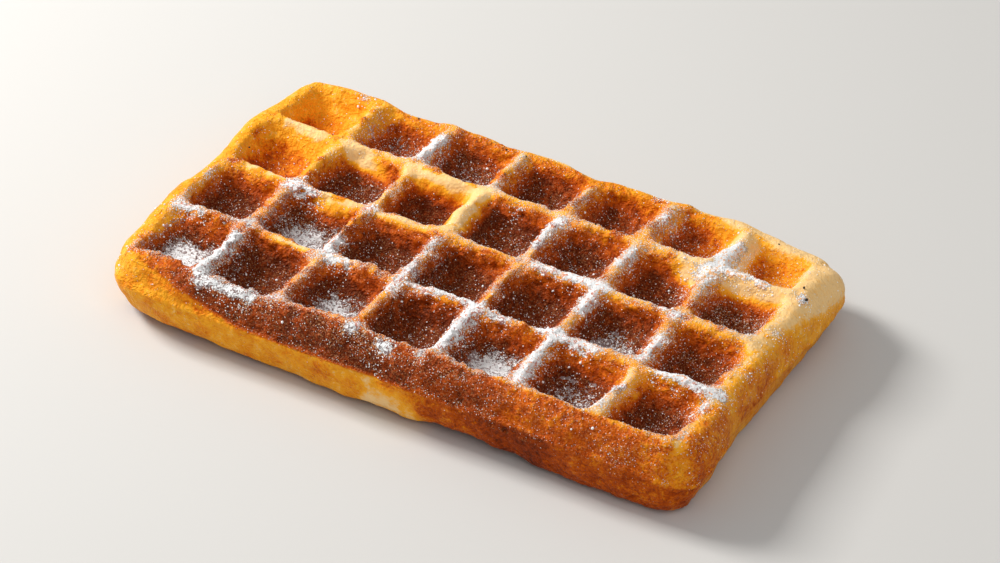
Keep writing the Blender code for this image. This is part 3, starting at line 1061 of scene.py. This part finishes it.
def dish_rise(points):
    """How far the foot of each pocket's walls rises, so that the pocket is a dish."""
    columns, rows = grid_of(points)
    away_x, away_y = from_ribs(columns, rows)
    near = 1 - smooth(0.0035, 0.0090, away_x) * smooth(0.0035, 0.0090, away_y)
    heights = points[:, 2]
    low = smooth(RIB_HEIGHT - 0.0010, UPPER_FLOOR + 0.0015, heights) * (heights > LIP_HEIGHT)
    return near * low * within_grid(columns, rows)


def crown_drop(points, normals):
    """How far the shoulders of the ribs fall away from their crests."""
    columns, rows = stray_grid_of(points, CROWN_STRAY_LUMPS)
    shoulder = smooth(0.0005, 0.0024, np.minimum(*from_ribs(columns, rows)))
    high = smooth(RIB_HEIGHT - RIB_CROWN, RIB_HEIGHT - 0.0012, points[:, 2])
    return shoulder * high * smooth(0.2, 0.7, normals[:, 2]) * within_grid(columns, rows)


def bulge_at(points):
    """How far the side bulges out between its lip and its rim, and below its lip."""
    columns, rows = grid_of(points)
    upper = np.clip((points[:, 2] - LIP_HEIGHT) / (RIB_HEIGHT - LIP_HEIGHT), 0.0, 1.0)
    lower = np.clip(points[:, 2] / LIP_HEIGHT, 0.0, 1.0)
    bulge = strongest(columns, rows, UPPER_BULGES) * np.sin(math.pi * upper ** 1.3)
    bulge += strongest(columns, rows, LOWER_BULGES) * np.sin(math.pi * lower)
    return bulge * smooth(0.0016, -0.0024, into_grid(columns, rows))


def relief_at(points, crust, browning):
    """How far each point of the crust is raised or sunk by waves, crags and burst bubbles."""
    heights = points[:, 2]
    inside = within_grid(*grid_of(points))
    rough = 0.35 + 0.65 * smooth(0.20, 0.55, browning)
    raised = crust.swell * (noise_at(points, *SWELL_LUMPS) + noise_at(points, *WIDE_SWELL_LUMPS))
    crests = 1 + CREST_CRAGS * smooth(UPPER_FLOOR + 0.0030, RIB_HEIGHT - 0.0010, heights) * inside
    calm = 1 - CALM_OUTSIDE * (1 - inside)
    raised += crust.crags * rough * crests * calm * rough_noise_at(points, *CRAG_LUMPS)
    raised -= crust.pit_depth * rough * pits_at(points, *BUBBLES)
    lip = smooth(0.0014, 0.0, np.abs(heights - seam_height(points))) * (1 - inside)
    return raised + crust.lip * lip * (1.0 + noise_at(points, *LIP_LUMPS))


def round_corner(points):
    """Points with the far right corner of the waffle drawn in to a round one, the more the lower."""
    radius = CORNER_RADIUS + CORNER_RADIUS_GROWTH * smooth(0.0160, 0.0080, points[:, 2])
    away = np.maximum(points[:, :2] - np.array(CAD_BOX[1])[:2] + radius[:, None], 0.0)
    beyond = np.maximum(np.hypot(away[:, 0], away[:, 1]), radius)
    rounded = points.copy()
    rounded[:, :2] -= away * (1 - radius / beyond)[:, None]
    return rounded


def soften(piece, crust):
    """Bulges the side, curves the pockets, lets the ribs stray and rounds the crust."""
    points, normals = points_of(piece)
    moved = points + normals * bulge_at(points)[:, None] + wander_at(points, crust)
    moved[:, 2] += crust.dish * dish_rise(points) - crust.crown * crown_drop(points, normals)
    move_points(piece, round_corner(within_box(moved)))
    smooth_points(piece, points[:, 2] > LIP_HEIGHT, crust.rounding)
    outside = (within_grid(*grid_of(points)) < 0.3) & (points[:, 2] > LIP_HEIGHT + 0.0020)
    smooth_points(piece, outside, crust.side_rounding)
    right_end = (points[:, 0] > ROUND_END) & (points[:, 2] > ROUND_END_FOOT)
    smooth_points(piece, right_end, crust.corner_rounding)


def raise_again(piece, crust):
    """Raises the right end and the ribs' crests again, which the rounding wore down."""
    points, normals = points_of(piece)
    puffed = smooth(ROUND_END, ROUND_END + 0.0040, points[:, 0])
    puffed *= smooth(LIP_HEIGHT - 0.0010, LIP_HEIGHT + 0.0030, points[:, 2])
    points += normals * (crust.corner_puff * puffed)[:, None]
    crest = smooth(RIB_HEIGHT - 0.0020, RIB_HEIGHT, points[:, 2]) * smooth(0.6, 0.95, normals[:, 2])
    points[:, 2] += crust.crest_rise * crest
    move_points(piece, within_box(points))


def roughen(piece, crust):
    """Raises the crags and sinks the bubbles, and gives how brown and how pale each point is."""
    points, normals = points_of(piece)
    pale = pale_at(points)
    browning = browning_at(points, pale, crust)
    move_points(piece, within_box(points + normals * relief_at(points, crust, browning)[:, None]))
    return browning, pale


def store_finish(piece, browning, pale):
    """Keeps how brown and how pale each point is, and how much sugar of each kind lies on it."""
    points, normals = points_of(piece)
    sugar = sugar_at(points, normals)
    thin_floors = smooth(0.98, 0.84, in_pockets(*grid_of(points), FLOOR_SUGAR))
    sprinkled = thin_floors * smooth(0.5, 0.9, depth_at(points))
    store(piece, "browning", browning)
    store(piece, "pale", pale)
    store(piece, "sugar", sugar * (1 - SPRINKLED_THINNER * sprinkled))
    store(piece, "specks", dusting_at(points, normals, sugar, browning, pale))
    store(piece, "grains", grains_at(points, normals, sugar))


class WAFFLE_OT_crust(bpy.types.Operator):
    """Rounds and roughens a copy of the solid waffle and bakes it from cream to dark brown"""

    bl_idname = "waffle.crust"
    bl_label = "Crust"

    def execute(self, context):
        crust = context.scene.waffle_crust
        piece = duplicate(frame["nodes"]["waffle"], "waffle_crust")
        open_whole(piece)
        bpy.ops.mesh.remove_doubles(threshold=MERGE_DISTANCE)
        bpy.ops.mesh.tris_convert_to_quads()
        bpy.ops.object.mode_set(mode="OBJECT")
        apply_modifier(piece, "SUBSURF", levels=2, render_levels=2)
        apply_modifier(piece, "REMESH", mode="VOXEL", voxel_size=crust.mesh_size)
        soften(piece, crust)
        raise_again(piece, crust)
        store_finish(piece, *roughen(piece, crust))
        crumb_group()
        baked_colour_group(crust)
        powder_group()
        finish_piece(piece, crust_material(context))
        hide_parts("waffle")
        return {"FINISHED"}


class WAFFLE_OT_drifts(bpy.types.Operator):
    """Lays icing sugar in ragged drifts on the ribs and the floors of the pockets"""

    bl_idname = "waffle.drifts"
    bl_label = "Sugar drifts"

    def execute(self, context):
        piece = duplicate(bpy.data.objects["waffle_crust"], "sugar_drifts")
        keep_faces(piece, sugar_at(*points_of(piece)), DRIFT_SEARCH)
        open_whole(piece)
        bpy.ops.mesh.subdivide(number_cuts=2)
        bpy.ops.object.mode_set(mode="OBJECT")
        keep_faces(piece, drift_at(*points_of(piece)), 0.0)
        points, normals = points_of(piece)
        lumps = 1 + DRIFT_LUMPINESS * noise_at(points, *DRIFT_LUMPS)
        height = np.clip(drift_at(points, normals) * DRIFT_GROWTH, DRIFT_DIP, 1.0)
        height = height * context.scene.waffle_sugar.drift * lumps
        move_points(piece, within_box(points + normals * height[:, None]))
        apply_modifier(piece, "SOLIDIFY", thickness=DRIFT_SKIN, offset=-1.0)
        finish_piece(piece, drift_material(context))
        return {"FINISHED"}


def random_vector(tree, low, high, seed):
    """A vector with a chance value from low to high on each axis."""
    inputs = {0: (low,) * 3, 1: (high,) * 3, 8: seed}
    return add_node(tree, "FunctionNodeRandomValue", inputs, data_type="FLOAT_VECTOR").outputs[0]


def scatter(piece, shape, amount_name, per_area, low, high, seed):
    """Turns a copy of the crust into grains of a shape, strewn by an amount that its points hold."""
    tree = bpy.data.node_groups.new(piece.name, "GeometryNodeTree")
    for in_out in ("INPUT", "OUTPUT"):
        tree.interface.new_socket("Geometry", in_out=in_out, socket_type="NodeSocketGeometry")
    given, result = add_node(tree, "NodeGroupInput"), add_node(tree, "NodeGroupOutput")
    named = add_node(tree, "GeometryNodeInputNamedAttribute", {"Name": amount_name}, data_type="FLOAT")
    density = times(tree, named.outputs["Attribute"], per_area)
    inputs = {"Mesh": given.outputs[0], "Density": density, "Seed": seed}
    spread = add_node(tree, "GeometryNodeDistributePointsOnFaces", inputs, distribute_method="RANDOM")
    inputs = {
        "Points": spread.outputs["Points"],
        "Instance": add_node(tree, *shape).outputs["Mesh"],
        "Rotation": random_vector(tree, 0.0, math.tau, seed + 1),
        "Scale": random_vector(tree, low, high, seed + 2),
    }
    placed = add_node(tree, "GeometryNodeInstanceOnPoints", inputs)
    real = add_node(tree, "GeometryNodeRealizeInstances", {"Geometry": placed.outputs["Instances"]})
    tree.links.new(real.outputs["Geometry"], result.inputs[0])
    apply_modifier(piece, "NODES", node_group=tree)
    move_points(piece, within_box(points_of(piece)[0]))


class WAFFLE_OT_grains(bpy.types.Operator):
    """Strews loose icing sugar: fine dust, grains and small clumps"""

    bl_idname = "waffle.grains"
    bl_label = "Loose sugar"

    def execute(self, context):
        sugar = context.scene.waffle_sugar
        material = new_material("loose_sugar", {"Base Color": opaque(sugar.colour), **DRY_POWDER})[0]
        for index, (name, *kind) in enumerate(LOOSE_SUGAR):
            piece = duplicate(bpy.data.objects["waffle_crust"], name)
            scatter(piece, *kind, sugar.seed + 10 * index)
            finish_piece(piece, material)
        return {"FINISHED"}


def add_crumb(column, row, width, crust_points):
    """A ball of a width that stands on the crust at a place in the grid."""
    x, y = (column - COLUMNS / 2) * PITCH_X, (row - ROWS / 2) * PITCH_Y
    near = np.hypot(crust_points[:, 0] - x, crust_points[:, 1] - y) < CRUMB_SEARCH
    height = crust_points[near, 2].max() + 0.1 * width
    bpy.ops.mesh.primitive_ico_sphere_add(subdivisions=2, radius=width / 2, location=(x, y, height))
    return bpy.context.object


class WAFFLE_OT_crumbs(bpy.types.Operator):
    """Sets a few burnt crumbs on the ribs"""

    bl_idname = "waffle.crumbs"
    bl_label = "Burnt crumbs"

    def execute(self, context):
        crust_points, _ = points_of(bpy.data.objects["waffle_crust"])
        deselect_all()
        for crumb in [add_crumb(*place, crust_points) for place in DARK_CRUMBS]:
            crumb.select_set(True)
        bpy.ops.object.join()
        bpy.ops.object.transform_apply(location=True, rotation=True, scale=True)
        piece = context.object
        piece.name = "burnt_crumbs"
        points, normals = points_of(piece)
        moved = points + CRUMB_ROUGHNESS * normals * noise_at(points, *BURNT_LUMPS)[:, None]
        move_points(piece, within_box(moved))
        values = {"Base Color": opaque(context.scene.waffle_crust.burnt), "Roughness": 0.8}
        finish_piece(piece, new_material("burnt_crumb", values)[0])
        return {"FINISHED"}


class WAFFLE_OT_stage(bpy.types.Operator):
    """Adds the floor, the light and the camera"""

    bl_idname = "waffle.stage"
    bl_label = "Stage"

    def execute(self, context):
        stage = context.scene.waffle_stage
        deselect_all()
        bpy.ops.mesh.primitive_plane_add(size=FLOOR_WIDTH, location=(0.0, 0.0, FLOOR_HEIGHT))
        floor = context.object
        floor.name = "floor"
        values = {"Base Color": opaque(stage.floor), "Roughness": 0.9}
        floor.data.materials.append(new_material("floor", values)[0])
        for light in LIGHTS:
            add_light(*light)
        add_sky(context.scene)
        add_camera(context.scene, stage)
        context.scene.view_settings.view_transform = "Standard"
        return {"FINISHED"}


def add_light(name, azimuth, elevation, size, power, colour):
    """A soft square light that faces the waffle, at degrees round from its front and degrees up."""
    side, rise = math.radians(azimuth), math.radians(elevation)
    place = Vector((math.sin(side) * math.cos(rise), -math.cos(side) * math.cos(rise), math.sin(rise)))
    bpy.ops.object.light_add(type="AREA", location=place * LIGHT_DISTANCE)
    light = bpy.context.object
    light.name = name
    light.rotation_euler = (-place).to_track_quat("-Z", "Y").to_euler()
    light.data.size = size
    light.data.energy = power
    light.data.color = colour


def add_sky(scene):
    """Even light from all round."""
    scene.world = bpy.data.worlds.new("studio")
    scene.world.use_nodes = True
    background = scene.world.node_tree.nodes["Background"]
    background.inputs["Color"].default_value = opaque(SKY_COLOUR)
    background.inputs["Strength"].default_value = SKY_STRENGTH


def add_camera(scene, stage):
    """The camera, at the photograph's height, side and tilt."""
    level = math.cos(stage.elevation)
    back = Vector(
        (math.sin(stage.azimuth) * level, -math.cos(stage.azimuth) * level, math.sin(stage.elevation))
    )
    across = (-back).cross(Vector((0.0, 0.0, 1.0))).normalized()
    rise = across.cross(-back)
    right = math.cos(stage.roll) * across + math.sin(stage.roll) * rise
    up = math.cos(stage.roll) * rise - math.sin(stage.roll) * across
    turned = Matrix((right, up, back)).transposed().to_4x4()
    turned.translation = Vector(CAMERA_TARGET) + back * stage.distance
    bpy.ops.object.camera_add()
    camera = bpy.context.object
    camera.name = "camera"
    camera.matrix_world = turned
    camera.data.lens = stage.lens
    camera.data.sensor_width = SENSOR_WIDTH
    scene.camera = camera


class WAFFLE_PT_panel(bpy.types.Panel):
    bl_label = "Waffle"
    bl_idname = "WAFFLE_PT_panel"
    bl_space_type = "VIEW_3D"
    bl_region_type = "UI"
    bl_category = "Waffle"

    def draw(self, context):
        layout = self.layout
        for group, operators in PANEL_GROUPS:
            settings = getattr(context.scene, group)
            box = layout.box()
            for name in settings.__annotations__:
                box.prop(settings, name)
            for operator in operators:
                box.operator(operator)


PANEL_GROUPS = (
    ("waffle_crust", ("waffle.crust", "waffle.crumbs")),
    ("waffle_sugar", ("waffle.drifts", "waffle.grains")),
    ("waffle_stage", ("waffle.stage",)),
)
SETTINGS = {"waffle_crust": CrustSettings, "waffle_sugar": SugarSettings, "waffle_stage": StageSettings}
OPERATORS = (WAFFLE_OT_crust, WAFFLE_OT_drifts, WAFFLE_OT_grains, WAFFLE_OT_crumbs, WAFFLE_OT_stage)


def register():
    for name, settings in SETTINGS.items():
        bpy.utils.register_class(settings)
        setattr(bpy.types.Scene, name, PointerProperty(type=settings))
    for operator in OPERATORS:
        bpy.utils.register_class(operator)
    bpy.utils.register_class(WAFFLE_PT_panel)


def unregister():
    bpy.utils.unregister_class(WAFFLE_PT_panel)
    for operator in reversed(OPERATORS):
        bpy.utils.unregister_class(operator)
    for name, settings in SETTINGS.items():
        delattr(bpy.types.Scene, name)
        bpy.utils.unregister_class(settings)


def main():
    register()
    noise.seed_set(NOISE_SEED)
    bpy.ops.waffle.crust()
    bpy.ops.waffle.drifts()
    bpy.ops.waffle.grains()
    bpy.ops.waffle.crumbs()
    bpy.ops.waffle.stage()


if __name__ == "__main__":
    main()
